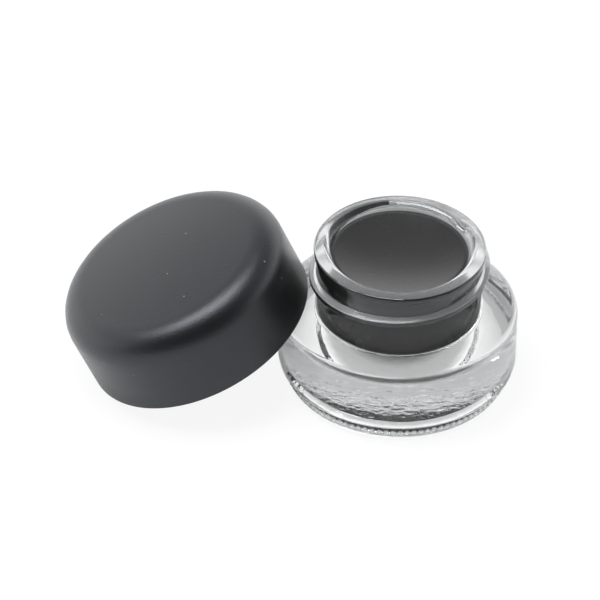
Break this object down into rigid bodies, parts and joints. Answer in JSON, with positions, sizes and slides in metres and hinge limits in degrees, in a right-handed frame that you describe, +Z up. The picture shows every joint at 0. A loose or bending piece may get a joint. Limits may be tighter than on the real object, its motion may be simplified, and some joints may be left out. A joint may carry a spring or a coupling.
{
  "type": "gel eyeliner pot",
  "caption": "Squat clear glass cosmetic pot with a threaded neck and a well of dark gel, its matte black screw cap taken off and tipped against the jar's shoulder.",
  "frame": {"origin": "middle of the jar's base, on the surface it stands on", "axes": "+Z up along the jar's axis, -X towards the cap, so +X is the long way of the pair"},
  "size_m": [0.0733, 0.0406, 0.0261],
  "materials": {
    "clear_glass": "polished clear glass",
    "eyeliner_gel": "satin gel",
    "cap_plastic": "matte moulded black",
    "liner_plastic": "moulded black, lightly polished",
    "seal_foam": "fine white foam"
  },
  "bodies": {
    "pot": {"glass_jar": "clear_glass", "gel_fill": "eyeliner_gel"},
    "seal": {"seal_disc": "seal_foam"},
    "cap": {"cap_shell": "cap_plastic", "cap_liner": "liner_plastic"}
  },
  "joints": [
    {"name": "cap_lift", "type": "slide", "parent": "pot", "child": "seal", "axis": [-0.3783, -0.0284, 0.9252], "range_m": [0, 0.03]},
    {"name": "cap_turn", "type": "hinge", "parent": "seal", "child": "cap", "pos_m": [-0.03224, 0.00197, 0.0072], "axis": [-0.3783, -0.0284, 0.9252], "continuous": true}
  ]
}
